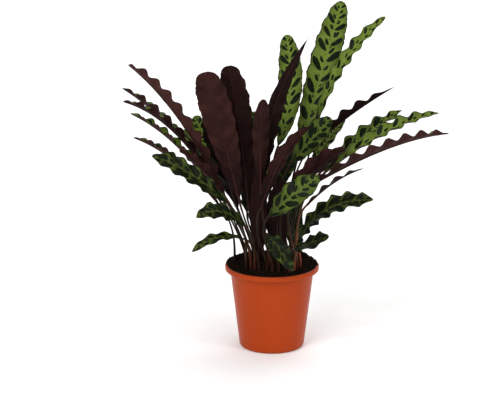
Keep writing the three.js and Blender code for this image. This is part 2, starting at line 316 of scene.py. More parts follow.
pot_plastic = Finish("terracotta plastic", specular=0.06)
pot_cloud = pot_plastic.grain(14, 2.0)
pot_upright = pot_plastic.stretched((1, 1, 0.12))
pot_streak = pot_plastic.grain(90, 2.0, place=pot_upright)
pot_pimples = pot_plastic.grain(900, 2.0)
pot_plastic.colour(pot_plastic.between(pot_cloud, POT_TERRACOTTA, POT_TERRACOTTA_PALE))
pot_plastic.rough(pot_streak * 0.14 + 0.27)
pot_plastic.relief(pot_pimples * 0.5 + pot_streak * 0.5, metres=0.00006)
pot.data.materials.append(pot_plastic.material)
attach(pot, "root")
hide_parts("pot")


# Compost: the dark peat that fills the pot, one crumbly root ball a little below the rim
# at the front and heaped over it at the back. It was pressed in by hand, so it has lumps,
# and loose crumbs of two sizes lie all over its top.
COMPOST_GAP = 0.3
COMPOST_EDGE_HEIGHT = 150.5
COMPOST_MOUND = 3
COMPOST_BACK_RISE = 3.5
COMPOST_BUMP = 0.9
COMPOST_BUMP_SPANS = (20, 23, 37)
COMPOST_TOP_RADIUS = RIM_RADIUS - RIM_THICKNESS - COMPOST_GAP
COMPOST_SECTORS = 180
COMPOST_RINGS = 46
LUMP_HEIGHT = 1.3
LUMP_SPAN = 9
LUMP_SEED = 3.7
# Each heap: its middle, its height and how wide it spreads.
HEAPS = [
    ((50, 50), 5.5, 15),
    ((68, 30), 2.5, 12),
    ((-58, 48), 2.5, 16),
    ((-70, 20), 1.5, 12),
    ((15, 72), 3, 16),
]
# The spill over the rim starts a little in front of the pot's middle, grows to its whole
# reach within a short way round, and has a ragged edge.
SPILL_START = -0.16
SPILL_GROWTH = 0.14
SPILL_RAGGEDNESS = 0.18
SPILL_RAGS = 5
SPILL_SEED = 1.3
SPILL_HEAP_BOTTOM = 153
# Each spill ring: how far out over the rim, its height where the compost has spilled, its
# depth under the edge where it has not, and how much of the edge's heap it carries.
SPILL_RINGS = [
    (2.7, 152.9, 0.5, 0.8),
    (4.8, 152.5, 1.0, 0.35),
    (4.7, 152.1, 1.4, 0),
    (2.4, 152.1, 1.8, 0),
    (0, 150.6, 2.2, 0),
]
# Each size of crumb: its piece, how many a square metre, radius, smallest and largest
# share of that radius, seed.
CRUMB_SIZES = [
    ("fine_crumbs", 190000, 1.0, 0.5, 1.2, 3),
    ("coarse_crumbs", 16000, 2.2, 0.6, 1.3, 8),
]
CRUMB_SHAPES = 5
FINER_CRUMB_SHAPES = 2
CRUMB_DENT = 2.2
CRUMB_DENTS_A_METRE = 900
CRUMB_DENT_STEP = 3.1
CRUMB_STEEPEST = 0.35
PEAT_BLACK = (0.0040, 0.0030, 0.0022, 1)
PEAT_BROWN = (0.0150, 0.0095, 0.0062, 1)
FIBRE_TAN = (0.045, 0.024, 0.012, 1)


def compost_height(x, y):
    radius = math.hypot(x, y)
    mound = COMPOST_MOUND * (1 - (radius / RIM_RADIUS) ** 2)
    back_rise = COMPOST_BACK_RISE * (y / RIM_RADIUS)
    along_x, along_y, slanted = COMPOST_BUMP_SPANS
    crossed = math.sin(2 * math.pi * x / along_x) * math.sin(2 * math.pi * y / along_y)
    bumps = COMPOST_BUMP * (crossed + math.sin(2 * math.pi * (x - y) / slanted))
    lumps = LUMP_HEIGHT * noise.fractal((x / LUMP_SPAN, y / LUMP_SPAN, LUMP_SEED), 1.0, 2.1, 4)
    heaped = sum(h * math.exp(-((x - a) ** 2 + (y - b) ** 2) / (2 * w * w)) for (a, b), h, w in HEAPS)
    return COMPOST_EDGE_HEIGHT + mound + back_rise + bumps + lumps + heaped


def compost_height_round(radius, angle):
    return compost_height(radius * math.cos(angle), radius * math.sin(angle))


def spill_point(out, spilled_height, depth, heap_share, angle):
    """Radius and height of one ring of the spill, at an angle round the pot."""
    rags = noise.noise((math.cos(angle) * SPILL_RAGS, math.sin(angle) * SPILL_RAGS, SPILL_SEED))
    ragged = 1 - SPILL_RAGGEDNESS + SPILL_RAGGEDNESS * rags
    share = ragged * min(1, max(0, (math.sin(angle) - SPILL_START) / SPILL_GROWTH))
    edge_height = compost_height_round(COMPOST_TOP_RADIUS, angle)
    heap = max(0, edge_height - SPILL_HEAP_BOTTOM) * heap_share
    z = (edge_height - depth) * (1 - share) + (spilled_height + heap) * share
    return COMPOST_TOP_RADIUS + out * share, z


compost_angles = [2 * math.pi * sector / COMPOST_SECTORS for sector in range(COMPOST_SECTORS)]
compost_rings = []
for ring in range(1, COMPOST_RINGS + 1):
    radius = COMPOST_TOP_RADIUS * ring / COMPOST_RINGS
    compost_rings.append([(radius, compost_height_round(radius, angle)) for angle in compost_angles])
for spill_ring in SPILL_RINGS:
    compost_rings.append([spill_point(*spill_ring, angle) for angle in compost_angles])
for radius, z in (
    (COMPOST_TOP_RADIUS, LEDGE_HEIGHT + COMPOST_GAP),
    (POT_NECK_RADIUS - POT_WALL - COMPOST_GAP, THROAT_HEIGHT + COMPOST_GAP),
    (pot_inside_radius(chamfer_top + COMPOST_GAP) - COMPOST_GAP, chamfer_top + COMPOST_GAP),
    (POT_FOOT_RADIUS - COMPOST_GAP, POT_FLOOR + COMPOST_GAP),
):
    compost_rings.append([(radius, z)] * COMPOST_SECTORS)
compost_bottom = POT_FLOOR + COMPOST_GAP
compost_mesh = ringed("compost_ball", compost_height(0, 0), compost_rings, compost_bottom, downward=True)
for face in compost_mesh.polygons:
    face.use_smooth = True
compost = placed("compost_ball", compost_mesh)

peat = Finish("crumbly peat", specular=0.02, roughness=0.95)
peat_speck = peat.grain(420, 4.0, 0.7)
peat_patch = peat.grain(60, 2.0)
peat_mixed = ((peat_speck * 0.7 + peat_patch * 0.3) - 0.36) * 3.2
peat.colour(peat.ramp(peat_mixed.clamped(), (0.0, PEAT_BLACK), (0.75, PEAT_BROWN), (1.0, FIBRE_TAN)))
peat.relief(peat.grain(700, 5.0, 0.7), metres=0.0012)
compost.data.materials.append(peat.material)


def node_tree(name, inputs, output):
    """A Geometry Nodes tree with those named inputs and one output."""
    tree = bpy.data.node_groups.new(name, "GeometryNodeTree")
    for socket_name, kind in inputs:
        tree.interface.new_socket(name=socket_name, in_out="INPUT", socket_type="NodeSocket" + kind)
    tree.interface.new_socket(name=output, in_out="OUTPUT", socket_type="NodeSocketGeometry")
    return tree


crumb_inputs = [
    ("Compost", "Geometry"),
    ("Crumbs a square metre", "Float"),
    ("Crumb radius", "Float"),
    ("Smallest", "Float"),
    ("Largest", "Float"),
    ("Seed", "Int"),
    ("Crumb finish", "Material"),
]
crumb_tree = node_tree("scattered crumbs", crumb_inputs, "Crumbs")
crumb_given = node_in(crumb_tree, "NodeGroupInput").outputs
upward = Reading(node_in(crumb_tree, "GeometryNodeInputNormal").outputs[0]).parts()[2]
scatter_given = {
    "Mesh": crumb_given["Compost"],
    "Selection": upward.number("GREATER_THAN", CRUMB_STEEPEST),
    "Density": crumb_given["Crumbs a square metre"],
    "Seed": crumb_given["Seed"],
}
scatter = node_in(crumb_tree, "GeometryNodeDistributePointsOnFaces", scatter_given)
crumb_shapes = node_in(crumb_tree, "GeometryNodeGeometryToInstance")
for shape in range(CRUMB_SHAPES):
    ball_given = {
        "Subdivisions": 2 if shape < FINER_CRUMB_SHAPES else 1,
        "Radius": crumb_given["Crumb radius"],
    }
    ball = node_in(crumb_tree, "GeometryNodeMeshIcoSphere", ball_given)
    dents_given = {"W": CRUMB_DENT_STEP * shape, "Scale": CRUMB_DENTS_A_METRE}
    dents = node_in(crumb_tree, "ShaderNodeTexNoise", dents_given, noise_dimensions="4D")
    push = Reading(dents.outputs["Color"]).direction("SUBTRACT", (0.5, 0.5, 0.5))
    push = push * (Reading(crumb_given["Crumb radius"]) * CRUMB_DENT)
    lumpy_given = {"Geometry": ball.outputs["Mesh"], "Offset": push}
    lumpy = node_in(crumb_tree, "GeometryNodeSetPosition", lumpy_given)
    crumb_tree.links.new(lumpy.outputs["Geometry"], crumb_shapes.inputs[0])
tumbled_given = {1: (2 * math.pi, 2 * math.pi, 2 * math.pi), "Seed": crumb_given["Seed"]}
tumbled = node_in(crumb_tree, "FunctionNodeRandomValue", tumbled_given, data_type="FLOAT_VECTOR")
sized_given = {
    2: crumb_given["Smallest"],
    3: crumb_given["Largest"],
    "Seed": crumb_given["Seed"],
}
sized = node_in(crumb_tree, "FunctionNodeRandomValue", sized_given, data_type="FLOAT")
strewn_given = {
    "Points": scatter.outputs["Points"],
    "Instance": crumb_shapes.outputs[0],
    "Pick Instance": True,
    "Rotation": tumbled.outputs[0],
    "Scale": sized.outputs[1],
}
strewn = node_in(crumb_tree, "GeometryNodeInstanceOnPoints", strewn_given)
crumbs_real = node_in(crumb_tree, "GeometryNodeRealizeInstances", {0: strewn.outputs[0]})
crumbs_dressed_given = {"Geometry": crumbs_real.outputs[0], "Material": crumb_given["Crumb finish"]}
crumbs_dressed = node_in(crumb_tree, "GeometryNodeSetMaterial", crumbs_dressed_given)
node_in(crumb_tree, "NodeGroupOutput", {0: crumbs_dressed.outputs[0]})


def made_by(tree, name, blank, given):
    """A plain mesh made by a tree from a blank mesh, with the tree's named inputs set."""
    worker = placed(name + "_blank", blank)
    maker = worker.modifiers.new(name, "NODES")
    maker.node_group = tree
    for socket in tree.interface.items_tree:
        if socket.in_out == "INPUT" and socket.name in given:
            maker[socket.identifier] = given[socket.name]
    return finished_mesh(worker, name)


for name, density, radius, smallest, largest, seed in CRUMB_SIZES:
    given = {
        "Crumbs a square metre": float(density),
        "Crumb radius": radius * MM,
        "Smallest": smallest,
        "Largest": largest,
        "Seed": seed,
        "Crumb finish": peat.material,
    }
    crumbs = placed(name, made_by(crumb_tree, name, compost_mesh.copy(), given))
    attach(crumbs, "root")
    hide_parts("soil")
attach(compost, "root")
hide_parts("soil")


# Leaves of the left: nine long blades that lean out to the left, each grown in one piece
# from its sheath in the compost, up a round stalk to a thin leathery blade, folded up along
# its midrib and waved at its edges. It is green with dark ovals above and purple below.

# A leaf's row: name, foot, collar where the blade starts, middle, tip, width, azimuth and
# elevation of the upper side, fold, fall to the tip, depth of the waves.
LEFT_LEAVES = [
    ("left_1", (-34, -14), (-80, -50, 282), (-158, -75, 429), (-245, -95, 530), 53, (28, 32), 0.35, 0.4, 3.5),
    ("left_2", (-38, 6), (-81, -5, 271), (-170, 12, 389), (-268, 26, 469), 36, (18, 40), 0.5, 0.5, 4),
    ("left_3", (-44, -4), (-86, -28, 277), (-169, -32, 398), (-261, -36, 456), 36, (20, 38), 0.5, 0.5, 4),
    ("left_4", (-46, -16), (-87, -50, 275), (-161, -57, 377), (-246, -62, 440), 34, (5, 40), 0.4, 0.5, 4),
    ("left_5", (-68, 12), (-92, -24, 266), (-167, -24, 344), (-245, -26, 390), 31, (15, 40), 0.5, 0.5, 3.8),
    ("left_6", (-46, -28), (-78, -86, 288), (-141, -106, 344), (-205, -118, 378),
     38, (-50, 38), 0.15, 0.6, 4),
    ("left_7", (-38, -26), (-87, -76, 303), (-126, -90, 353), (-160, -98, 383), 28, (50, 30), 0.3, 0.6, 3.5),
    ("left_8", (-31, -37), (-46, -82, 244), (-88, -120, 281), (-129, -144, 276),
     39, (-72, 56), 0.1, 0.75, 3.5),
    ("left_9", (-23, -41), (-49, -78, 221), (-93, -112, 233), (-137, -135, 213),
     23, (-80, 66), 0.1, 0.6, 3.5),
]
STEM_BOTTOM = 128
STEM_TOP = 158
STEM_RADIUS = 2.6
STALK_RADIUS = 1.6
STALK_RISE = 0.18
STALK_REACH = 0.38
STALK_POINTS = 26
STALK_SIDES = 12
KNEE_START = 0.84
KNEE_GROWTH = 25
KNEE_SWELL = 0.35
RIB_POINTS = 40
RIB_END = 0.985
RIB_TAPER = 1.05
RIB_TIP_RADIUS = 0.25
RIB_SUNK = 0.05
STATIONS = 140
STRIPS = 23
STRIP_CROWDING = 1.5
LENGTH_STEPS = 64
TIP_HALF_WIDTH = 0.8
TIP_BLUNTNESS = 40
WIDTH_RISE = 0.7
FOLD_CURVE = 1.4
WAVE_PITCH = 31
WAVE_FULL_HALF_WIDTH = 14
GOLDEN_ANGLE = 2.4
RUFFLE_REACH = 0.035
RUFFLE_LEAD = 0.9
NIBBLE_REACH = 0.016
NIBBLE_RATES = (2.7, 4.9)
BLADE_THICKNESS = 0.45
BLADE_EDGE_ROUND = 8
BLADE_END_CLOSING = 60
BLADE_CREASE = 1.2
VEIN_SLANT = 0.85
VEINS_A_SPOT = 9
PANELS_A_SPOT = 3
PANEL_DEPTH = 0.3
DIMPLES_A_METRE = 34
DIMPLE_DEPTH = 5
SPOT_PITCH = 17
SPOT_GROWTH = 0.145
SPOT_SHIFT_STEP = 0.37
WIDE_LEAF = 50
# Distance between two ovals at the tip, and where the first one starts, on the leaves that
# show their ovals. The others follow a rule.
SPOT_FITS = {
    "right_1": (24, 0.2),
    "front_10": (19, 0.3),
    "right_3": (19, 0.7),
    "right_4": (20, 0.6),
    "right_5": (18, 0.1),
    "left_2": (17, 0.4),
    "left_3": (17, 0.8),
    "left_4": (17, 0.15),
    "left_5": (16, 0.5),
    "left_6": (23, 0.3),
    "left_8": (20, 0.4),
    "left_9": (17, 0.2),
    "right_8": (19, 0.5),
    "right_9": (19, 0.2),
    "front_11": (18, 0.6),
}
# How lit a leaf's colour is painted, from wholly in painted shade at 0 to fully lit at 1, for the shade
# it stands in among the others, and how red its stalk is. A side that faces the back of the plant always
# takes the lightly shaded tone.
BACK_SIDE_TONE = 0.85
TURNED_AWAY = 0.45
USUAL_LIGHT_AND_WARMTH = (0.8, 0.1)
LEAF_LIGHT_AND_WARMTH = {
    "left_1": (1.0, 0.1), "left_2": (0.6, 0.1), "left_3": (0.7, 0.0), "left_4": (0.7, 0.2),
    "left_5": (0.75, 0.0), "left_6": (0.22, 0.1), "left_7": (0.75, 0.6), "left_8": (0.22, 0.3),
    "left_9": (0.35, 0.1), "front_1": (0.6, 0.2), "front_2": (0.32, 0.05), "front_3": (0.48, 0.3),
    "front_4": (0.22, 0.05), "front_5": (0.5, 0.08), "front_6": (0.3, 0.05), "front_7": (0.6, 0.05),
    "front_8": (0.2, 0.05), "front_9": (0.18, 0.05), "front_10": (0.5, 0.1), "front_11": (0.14, 0.1),
    "right_1": (0.88, 0.1), "right_2": (0.25, 0.1), "right_3": (0.4, 0.1), "right_4": (0.7, 0.6),
    "right_5": (0.8, 0.9), "right_6": (0.85, 0.3), "right_7": (0.3, 1.0), "right_8": (0.22, 0.8),
    "right_9": (0.12, 0.6), "back_1": (0.88, 0.1), "back_2": (0.88, 0.1), "back_3": (0.12, 0.0),
    "back_4": (0.2, 0.1), "back_5": (0.75, 0.1), "back_6": (0.5, 0.1), "back_10": (0.08, 0.1),
    "back_12": (0.6, 0.1), "back_13": (0.3, 0.1),
}
LEAF_LIME = (0.172, 0.246, 0.035, 1)
LEAF_GREEN = (0.090, 0.128, 0.018, 1)
# The colour that the upper side is mixed towards where it is painted in shade.
LEAF_SHADE = (0.006, 0.009, 0.004, 1)
OVAL_GREEN = (0.0055, 0.0100, 0.0032, 1)
MIDRIB_LIME = (0.165, 0.225, 0.045, 1)
MARGIN_GREEN = (0.004, 0.007, 0.003, 1)
UNDER_PURPLE = (0.028, 0.0090, 0.0085, 1)
UNDER_BROWN = (0.060, 0.0195, 0.0160, 1)
# The colour that the underside is mixed towards where it is painted in shade, also used for its faint dark
# bands.
UNDER_SHADE = (0.0022, 0.0011, 0.0011, 1)
# Each kind of oval: where it starts and how far it reaches, in shares of the half width,
# and how much further a lucky one reaches.
LARGE_OVAL = (0.09, 0.80, 0.14)
SMALL_OVAL = (0.07, 0.36, 0.16)
OVAL_DOT = (0.07, 0.10, 0.16)
OVAL_WANDER = 0.16
OVAL_POINT = 0.62
OVAL_ROUND = 0.42
OVAL_FULLNESS = 0.515
OVAL_AGEING = 0.8
OVAL_EDGE = 0.032
MIDRIB_HALF = 0.04
MARGIN_START = 0.915
STALK_SHADE = (0.006, 0.004, 0.003, 1)
DULL_RIB_START = (0.030, 0.012, 0.010, 1)
RED_RIB_START = (0.13, 0.024, 0.012, 1)
RIB_PURPLE = (0.030, 0.010, 0.009, 1)
# Colours up the stalk, from the compost at 0 to the blade at 1.
DULL_STALK = [
    (0.0, (0.014, 0.008, 0.005, 1)),
    (0.25, (0.010, 0.008, 0.004, 1)),
    (0.8, (0.010, 0.010, 0.005, 1)),
    (1.0, (0.022, 0.010, 0.008, 1)),
]
RED_STALK = [
    (0.0, (0.17, 0.034, 0.017, 1)),
    (0.22, (0.22, 0.068, 0.024, 1)),
    (0.6, (0.075, 0.040, 0.014, 1)),
    (1.0, (0.10, 0.026, 0.016, 1)),
]

leaf_inputs = [
    ("Blank", "Geometry"),
    ("Stations", "Int"),
    ("Strips", "Int"),
    ("Foot", "Vector"),
    ("Stem top", "Vector"),
    ("Stalk leaving", "Vector"),
    ("Stalk arriving", "Vector"),
    ("Collar", "Vector"),
    ("Bend", "Vector"),
    ("Tip", "Vector"),
    ("Upper side", "Vector"),
    ("Half width", "Float"),
    ("Fold", "Float"),
    ("Fall", "Float"),
    ("Wave depth", "Float"),
    ("Blade length", "Float"),
    ("First turn", "Float"),
    ("Spot pitch", "Float"),
    ("Spot shift", "Float"),
    ("Upper tone", "Float"),
    ("Under tone", "Float"),
    ("Warmth", "Float"),
    ("Upper finish", "Material"),
    ("Under finish", "Material"),
    ("Stalk finish", "Material"),
]
leaf_tree = node_tree("waved leaf", leaf_inputs, "Leaf")
leaf_given = node_in(leaf_tree, "NodeGroupInput").outputs


def asked(name):
    """One of the leaf tree's named inputs."""
    return Reading(leaf_given[name])


def blade_line(share):
    """The middle line of the blade at a share of its length: centre, direction of the
    upper side, and direction across."""
    rest = share.less_from(1)
    centre = asked("Collar") * (rest * rest) + asked("Bend") * (share * rest * 2)
    centre = centre + asked("Tip") * (share * share)
    onward = (asked("Bend") - asked("Collar")) * rest + (asked("Tip") - asked("Bend")) * share
    onward = onward.direction("NORMALIZE")
    upper = asked("Upper side")
    upper = (upper - onward * upper.direction("DOT_PRODUCT", onward)).direction("NORMALIZE")
    return centre, upper, upper.direction("CROSS_PRODUCT", onward)


def stored(geometry, domain, name, value):
    """The geometry with one more named value at every point or face."""
    kind = "FLOAT_VECTOR" if isinstance(value, Reading) and value.is_direction else "FLOAT"
    given = {"Geometry": geometry, "Name": name, "Value": value}
    node = node_in(leaf_tree, "GeometryNodeStoreNamedAttribute", given, data_type=kind, domain=domain)
    return node.outputs["Geometry"]


def named_value(name):
    given = {"Name": name}
    return node_in(leaf_tree, "GeometryNodeInputNamedAttribute", given, data_type="FLOAT").outputs[0]


def joined(*geometries):
    node = node_in(leaf_tree, "GeometryNodeJoinGeometry")
    for geometry in geometries:
        leaf_tree.links.new(geometry, node.inputs[0])
    return node.outputs[0]


# The blade starts as a flat grid, with strips across it and stations along it. Both its
# faces are bent from that grid: off runs from 0 at the midrib to 1 at the edge.
blade_grid_given = {
    "Size X": 2,
    "Size Y": 1,
    "Vertices X": leaf_given["Strips"],
    "Vertices Y": leaf_given["Stations"],
}
blade_grid = node_in(leaf_tree, "GeometryNodeMeshGrid", blade_grid_given)
grid_x, grid_y, _ = Reading(node_in(leaf_tree, "GeometryNodeInputPosition").outputs[0]).parts()
evenly = (grid_y + 0.5).clamped()
share = (evenly * 0.5 + (evenly * math.pi).number("COSINE").less_from(1) * 0.25).clamped()
rest = share.less_from(1).clamped()
off = grid_x.size() ** STRIP_CROWDING
across = off * grid_x.number("SIGN")
fall = asked("Fall")
peak = (fall + WIDTH_RISE) ** -1 * WIDTH_RISE
peak_width = peak ** WIDTH_RISE * peak.less_from(1) ** fall
shape = share ** WIDTH_RISE * rest ** fall / peak_width
least = (rest * TIP_BLUNTNESS).clamped() * (TIP_HALF_WIDTH * MM)
half = (asked("Half width") * shape).number("MAXIMUM", least)
depth = asked("Wave depth") * ((half / (WAVE_FULL_HALF_WIDTH * MM)) ** 2).number("MINIMUM", 1.0)
from_tip = asked("Blade length") * rest
spacing = from_tip * SPOT_GROWTH + asked("Spot pitch")
spot_count = (spacing / asked("Spot pitch")).number("LOGARITHM", math.e) * (1 / SPOT_GROWTH)
spot_count = spot_count + asked("Spot shift")
slant = half * VEIN_SLANT / spacing
centre, upper, sideways = blade_line(share)
centre_place = centre + sideways * (across * half)
blade_turns = asked("Blade length") * share * (2 * math.pi / (WAVE_PITCH * MM))
vein_lag = half * off.less_from(1) * (2 * math.pi * VEIN_SLANT / (WAVE_PITCH * MM))
wave_turn = blade_turns + asked("First turn") + vein_lag
wave_turn = wave_turn + grid_x.number("GREATER_THAN", 0.0) * GOLDEN_ANGLE
panel_turn = (spot_count + off * slant) * (2 * math.pi * PANELS_A_SPOT)
panel_swell = panel_turn.sine() * (off * off.less_from(1)) * (4 * PANEL_DEPTH * MM)
dimpled_given = {"Vector": centre_place, "Scale": DIMPLES_A_METRE, "Detail": 1.0}
dimpled = node_in(leaf_tree, "ShaderNodeTexNoise", dimpled_given)
dimple = (Reading(dimpled.outputs[0]) - 0.5) * (off.less_from(1) * off * 4) * (DIMPLE_DEPTH * MM)
lift = asked("Fold") * half * off ** FOLD_CURVE + depth * off * off * wave_turn.sine()
lift = lift + panel_swell + dimple
ruffle = (wave_turn + RUFFLE_LEAD).sine() * off * off * RUFFLE_REACH + 1
coarse_rate, fine_rate = NIBBLE_RATES
nibble = (wave_turn * coarse_rate + asked("First turn")).sine()
nibble = nibble + (wave_turn * fine_rate).sine() * 0.6
ruffle = ruffle + nibble * off ** 6 * NIBBLE_REACH
mid_surface = centre + sideways * (across * half * ruffle)
from_ends = (evenly * BLADE_END_CLOSING).clamped()
from_ends = from_ends * (evenly.less_from(1) * BLADE_END_CLOSING).clamped()
skin = (off ** BLADE_EDGE_ROUND).less_from(1) * from_ends * (BLADE_THICKNESS / 2 * MM)
# Each point keeps its share along the blade and how lit each side's colour is painted.
tones = share.gathered(asked("Upper tone"), asked("Under tone"))
marked = stored(blade_grid.outputs["Mesh"], "POINT", "blade", across.gathered(spot_count, slant))
marked = stored(marked, "POINT", "leaf", tones)
# The height of each wave's crest, kept for the upper side's painted light and shade.
marked = stored(marked, "POINT", "crest_for_painted_light", wave_turn.sine() * off)


def blade_face(part, raised, turned_over):
    """One side of the blade, bent from the flat grid."""
    bent_given = {"Geometry": marked, "Position": mid_surface + upper * raised}
    side = node_in(leaf_tree, "GeometryNodeSetPosition", bent_given).outputs["Geometry"]
    if turned_over:
        side = node_in(leaf_tree, "GeometryNodeFlipFaces", {"Mesh": side}).outputs["Mesh"]
    return stored(side, "FACE", "part", part)


blade_sides = joined(blade_face(0.0, lift + skin, True), blade_face(1.0, lift - skin, False))
welded_given = {"Geometry": blade_sides, "Distance": 0.001 * MM}
blade_welded = node_in(leaf_tree, "GeometryNodeMergeByDistance", welded_given)
blade_crease = Reading(node_in(leaf_tree, "GeometryNodeInputMeshEdgeAngle").outputs["Unsigned Angle"])
creased_given = {
    "Geometry": blade_welded.outputs[0],
    "Selection": blade_crease.number("GREATER_THAN", BLADE_CREASE),
    "Shade Smooth": False,
}
blade_creased = node_in(leaf_tree, "GeometryNodeSetShadeSmooth", creased_given, domain="EDGE")

# The stem, the stalk and the midrib under the blade are one line of points, with a round
# skin that thins towards the tip.
stalk_dots = node_in(leaf_tree, "GeometryNodeMeshLine", {"Count": STALK_POINTS + RIB_POINTS})
stalk_index = Reading(node_in(leaf_tree, "GeometryNodeInputIndex").outputs[0])
up_stalk = ((stalk_index - 1) / (STALK_POINTS - 2)).clamped()
up_rest = up_stalk.less_from(1)
along_rib = ((stalk_index - (STALK_POINTS - 1)) / RIB_POINTS).clamped() * RIB_END
on_stalk = (
    asked("Stem top") * (up_rest * up_rest * up_rest)
    + asked("Stalk leaving") * (up_rest * up_rest * up_stalk * 3)
    + asked("Stalk arriving") * (up_rest * up_stalk * up_stalk * 3)
    + asked("Collar") * (up_stalk * up_stalk * up_stalk)
)
stem_swell = up_rest * up_rest * ((STEM_RADIUS - STALK_RADIUS) * MM)
knee_swell = ((up_stalk - KNEE_START) * KNEE_GROWTH).clamped() * (KNEE_SWELL * MM)
rib_radius = along_rib.less_from(1) * (RIB_TAPER * MM) + RIB_TIP_RADIUS * MM
in_rib = stalk_index.number("GREATER_THAN", STALK_POINTS - 0.5)
stalk_radius = (stem_swell + knee_swell + STALK_RADIUS * MM) * in_rib.less_from(1)
stalk_radius = stalk_radius + rib_radius * in_rib
rib_centre, rib_upper, _ = blade_line(along_rib)
on_rib = rib_centre - rib_upper * (rib_radius - RIB_SUNK * MM)
in_stem = stalk_index.number("GREATER_THAN", 0.5)
above_foot = on_stalk + (on_rib - on_stalk) * in_rib
stalk_path = asked("Foot") + (above_foot - asked("Foot")) * in_stem
stalk_given = {"Geometry": stalk_dots.outputs[0], "Position": stalk_path}
stalk_placed = node_in(leaf_tree, "GeometryNodeSetPosition", stalk_given).outputs[0]
stalk_place = up_stalk.gathered(along_rib, asked("Warmth"))
stalk_marked = stored(stalk_placed, "POINT", "stalk", stalk_place)
stalk_marked = stored(stalk_marked, "POINT", "stalk_radius", stalk_radius)
stalk_line = node_in(leaf_tree, "GeometryNodeMeshToCurve", {"Mesh": stalk_marked})
round_given = {"Resolution": STALK_SIDES, "Radius": 1.0}
stalk_round = node_in(leaf_tree, "GeometryNodeCurvePrimitiveCircle", round_given)
skin_given = {
    "Curve": stalk_line.outputs[0],
    "Profile Curve": stalk_round.outputs[0],
    "Scale": named_value("stalk_radius"),
    "Fill Caps": True,
}
stalk_skin = node_in(leaf_tree, "GeometryNodeCurveToMesh", skin_given).outputs[0]

leaf_joined = joined(stored(stalk_skin, "FACE", "part", 2.0), blade_creased.outputs[0])
leaf_dressed = node_in(leaf_tree, "GeometryNodeRealizeInstances", {0: leaf_joined}).outputs[0]
part_read = Reading(named_value("part"))
for part, finish_name in enumerate(("Upper finish", "Under finish", "Stalk finish")):
    dressed_given = {
        "Geometry": leaf_dressed,
        "Selection": part_read.number("COMPARE", float(part), 0.25),
        "Material": leaf_given[finish_name],
    }
    leaf_dressed = node_in(leaf_tree, "GeometryNodeSetMaterial", dressed_given).outputs["Geometry"]
node_in(leaf_tree, "NodeGroupOutput", {0: leaf_dressed})


def blade_readings(finish):
    """Where a point lies on the blade: how far off the midrib, on which side of it, at
    which vein and in which row of ovals, and how far along the veins slant."""
    across, count, slant = finish.attribute("blade").parts()
    off = across.size()
    side = across.number("GREATER_THAN", 0.0)
    vein = count + off * slant
    return off, side, vein, vein + side * 0.5, slant


def vein_ridges(lie):
    """Fine ridges between the veins, up to half a unit above and below the leaf."""
    _, _, vein, _, _ = lie
    return (vein * (2 * math.pi * VEINS_A_SPOT)).sine() * 0.5


def oval_marks(finish, lie, painted_shade_depth, start, reach, spread, shift, least, growth):
    """Where the dark ovals lie: one in each whole step of row, from start to reach of the
    half width, pointed towards the midrib and round at the outer end, and larger where the leaf's painted
    shade is deeper, as on an older leaf."""
    off, side, _, row, slant = lie
    shifted = row + shift
    cell = shifted.number("FLOOR")
    luck = finish.chance(cell.gathered(side, shift * 7))
    size_luck = finish.chance((cell + 31).gathered(side, shift * 5))
    wander = finish.grain(85, 2.0) - 0.5
    from_middle = (shifted - cell - 0.5 + (luck - 0.5) * OVAL_WANDER + wander * OVAL_WANDER).size()
    out = ((off + wander * OVAL_WANDER - start) / (size_luck * spread + (reach - start))).clamped()
    swell = out ** OVAL_POINT * out.less_from(1) ** OVAL_ROUND / OVAL_FULLNESS
    thickness = (slant * growth + least) * (size_luck * 0.4 + 0.8) * (painted_shade_depth * OVAL_AGEING + 1)
    return ((swell * thickness - from_middle) / OVAL_EDGE + 0.5).clamped()


upper_side = Finish("leaf upper side", specular=0.06)
lie = blade_readings(upper_side)
off, side, _, row, _ = lie
along_leaf, upper_tone, _ = upper_side.attribute("leaf").parts()
# How deep the leaf's painted shade is; its ovals grow larger with it, as on an older leaf.
painted_shade_depth = upper_tone.less_from(1)
large_ovals = oval_marks(upper_side, lie, painted_shade_depth, *LARGE_OVAL, shift=0.0, least=0.12, growth=0.13)
small_ovals = oval_marks(upper_side, lie, painted_shade_depth, *SMALL_OVAL, shift=0.47, least=0.08, growth=0.09)
dots = oval_marks(upper_side, lie, painted_shade_depth, *OVAL_DOT, shift=0.74, least=0.01, growth=0.07)
ovals = large_ovals.number("MAXIMUM", small_ovals).number("MAXIMUM", dots)
leaf_cloud = upper_side.grain(55, 3.0)
lime_share = (leaf_cloud * 1.3 - off * off * 0.85 + 0.12).clamped()
leaf_body = upper_side.between(lime_share, LEAF_GREEN, LEAF_LIME)
midrib_line = ((off * -1 + MIDRIB_HALF) * 60).clamped()
leaf_body = upper_side.between(midrib_line, leaf_body, MIDRIB_LIME)
leaf_body = upper_side.between(ovals, leaf_body, OVAL_GREEN)
margin_line = ((off - MARGIN_START) * 40).clamped()
leaf_body = upper_side.between(margin_line, leaf_body, MARGIN_GREEN)
# Painted light and shade: streaks along the veins and the waves' crests are painted lighter and the troughs
# darker, as glints and the shade of the folds would show, more so on a leaf in deeper painted shade.
vein_place = (row * 2.2).gathered(off * 0.7, side * 9)
painted_glint_streak = upper_side.grain(1.0, 2.0, place=vein_place) - 0.5
tone = upper_tone + (painted_glint_streak * 1.5 + upper_side.attribute("crest_for_painted_light", "Fac") * 0.42) * painted_shade_depth
# Painted shade: the upper side is mixed towards the shade colour near the leaf's base, in the shade of the
# clump, and by how lit the leaf is painted.
painted_light_share = ((along_leaf * 2.6 + 0.22).clamped() * tone).clamped()
upper_side.colour(upper_side.between(painted_light_share, LEAF_SHADE, leaf_body))
upper_side.rough(ovals * -0.04 + upper_side.grain(300, 2.0) * 0.12 + 0.17)
groove = (off * -18).number("EXPONENT") * -0.9
upper_grain = upper_side.grain(500, 3.0)
upper_side.relief(vein_ridges(lie) * 0.35 + groove + upper_grain * 0.35, metres=0.0005)

